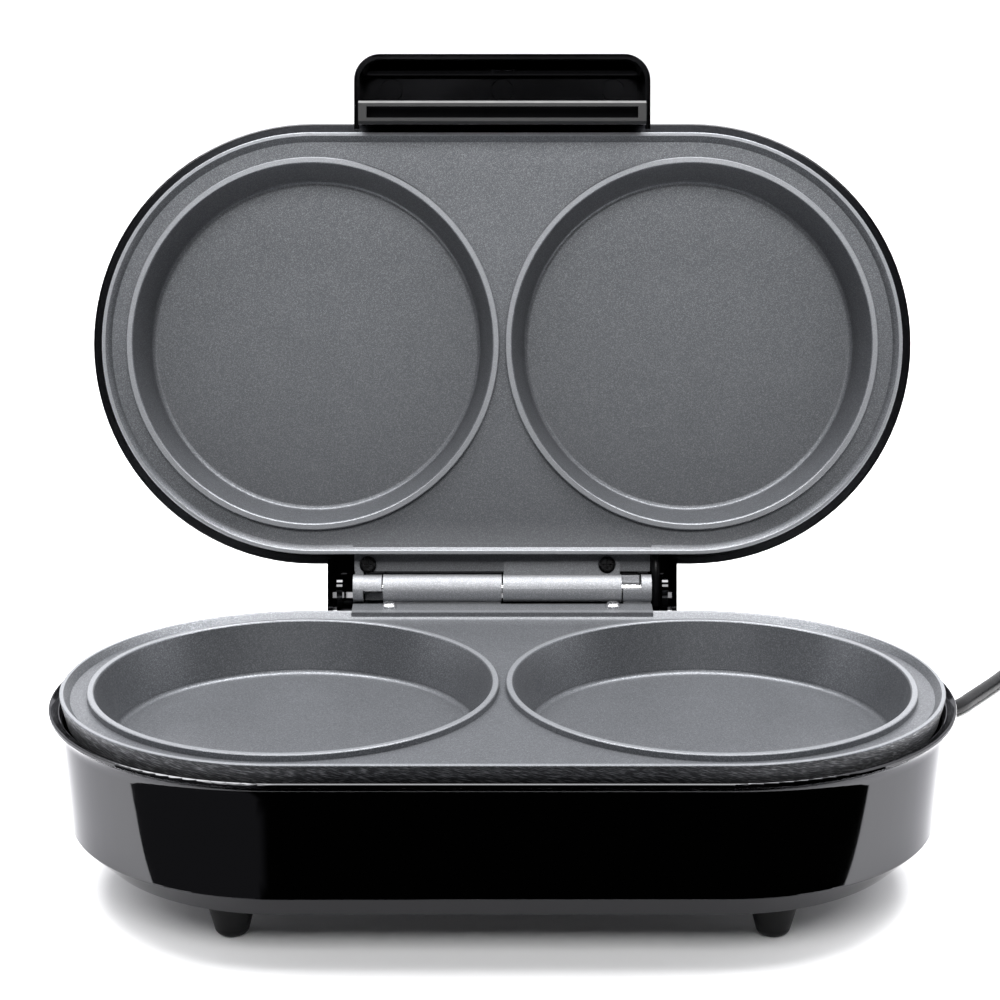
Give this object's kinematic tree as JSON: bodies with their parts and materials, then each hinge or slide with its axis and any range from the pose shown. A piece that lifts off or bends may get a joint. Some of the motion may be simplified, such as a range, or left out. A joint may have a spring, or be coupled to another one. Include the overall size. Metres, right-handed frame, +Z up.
{
  "type": "electric omelette maker",
  "caption": "Electric omelette maker with hinged lid, paired round non-stick wells in each half, latch bar in the handle and mains lead.",
  "frame": {"origin": "on the table, under the middle of the open appliance's bounding box without its lead", "axes": "+X to the user's right along the long side, +Y to the back where the hinge is, +Z up"},
  "size_m": [0.518, 0.3644, 0.2882],
  "materials": {
    "gloss_shell": "high gloss moulded black",
    "latch_plastic": "satin moulded black",
    "foot_plastic": "satin moulded black",
    "coated_casting": "dark grey non-stick coating with fine metallic sparkle over die-cast aluminium",
    "element_sheath": "dull heat-tinted",
    "bright_steel": "zinc plated",
    "black_screw": "black oxide",
    "shield_sheet": "bright rolled sheet",
    "terminal_ceramic": "off-white",
    "brass_part": "plain brass",
    "thermostat_body": "brown phenolic",
    "wire_brown": "brown insulation",
    "wire_blue": "blue insulation",
    "wire_green": "green and yellow insulation",
    "wire_grey": "grey insulation",
    "cord_rubber": "soft black",
    "clamp_plastic": "black nylon",
    "holder_plastic": "white",
    "lamp_glass_red": "neon lamp",
    "lamp_glass_green": "neon lamp",
    "lens_red": "tinted clear plastic",
    "lens_green": "tinted clear plastic"
  },
  "bodies": {
    "base": {"base_housing": "gloss_shell", "foot_front_left": "foot_plastic", "foot_front_right": "foot_plastic", "foot_rear_left": "foot_plastic", "foot_rear_right": "foot_plastic", "lower_plate": "coated_casting", "lower_element": "element_sheath", "lower_element_pins": "bright_steel", "lower_heat_shield": "shield_sheet", "lower_shield_screws": "bright_steel", "base_screws": "bright_steel", "lower_hinge_screws": "bright_steel", "hinge_pin": "bright_steel", "terminal_block": "terminal_ceramic", "terminal_screws": "brass_part", "thermal_fuse": "brass_part", "fuse_clip": "bright_steel", "earth_tag": "brass_part", "wire_live": "wire_brown", "wire_fused": "wire_brown", "wire_neutral": "wire_blue", "wire_earth": "wire_green", "cord_tail": "cord_rubber", "cord_clamp": "clamp_plastic", "cord_clamp_screws": "bright_steel", "cord_strain_relief": "cord_rubber", "power_cord": "cord_rubber", "cord_coil": "cord_rubber", "plug_body": "cord_rubber", "plug_pins": "brass_part", "hinge_lead": "cord_rubber"},
    "lid": {"lid_housing": "gloss_shell", "upper_plate": "coated_casting", "upper_element": "element_sheath", "upper_element_pins": "bright_steel", "upper_heat_shield": "shield_sheet", "upper_shield_screws": "bright_steel", "upper_hinge_screws": "black_screw", "thermostat": "thermostat_body", "thermostat_bracket": "bright_steel", "thermostat_screws": "bright_steel", "lid_connector": "terminal_ceramic", "lid_wire_live": "wire_brown", "lid_wire_switched": "wire_brown", "lid_wire_neutral": "wire_blue", "lamp_wires": "wire_grey", "lamp_holder": "holder_plastic", "lamp_power": "lamp_glass_red", "lamp_ready": "lamp_glass_green", "lens_power": "lens_red", "lens_ready": "lens_green", "latch_pin": "bright_steel", "latch_spring": "bright_steel"},
    "latch": {"latch_bar": "latch_plastic"}
  },
  "joints": [
    {"name": "lid_hinge", "type": "hinge", "parent": "base", "child": "lid", "pos_m": [0, 0.05201, 0.0809], "axis": [1, 0, 0], "range_deg": [0, 104.4], "deforming": ["hinge_lead"]},
    {"name": "latch_swing", "type": "hinge", "parent": "lid", "child": "latch", "pos_m": [0, 0.11202, 0.26155], "axis": [-1, 0, 0], "range_deg": [0, 12], "stiffness_Nm_per_rad": 0.05, "springref_deg": -17.19, "deforming": ["latch_spring"]}
  ]
}
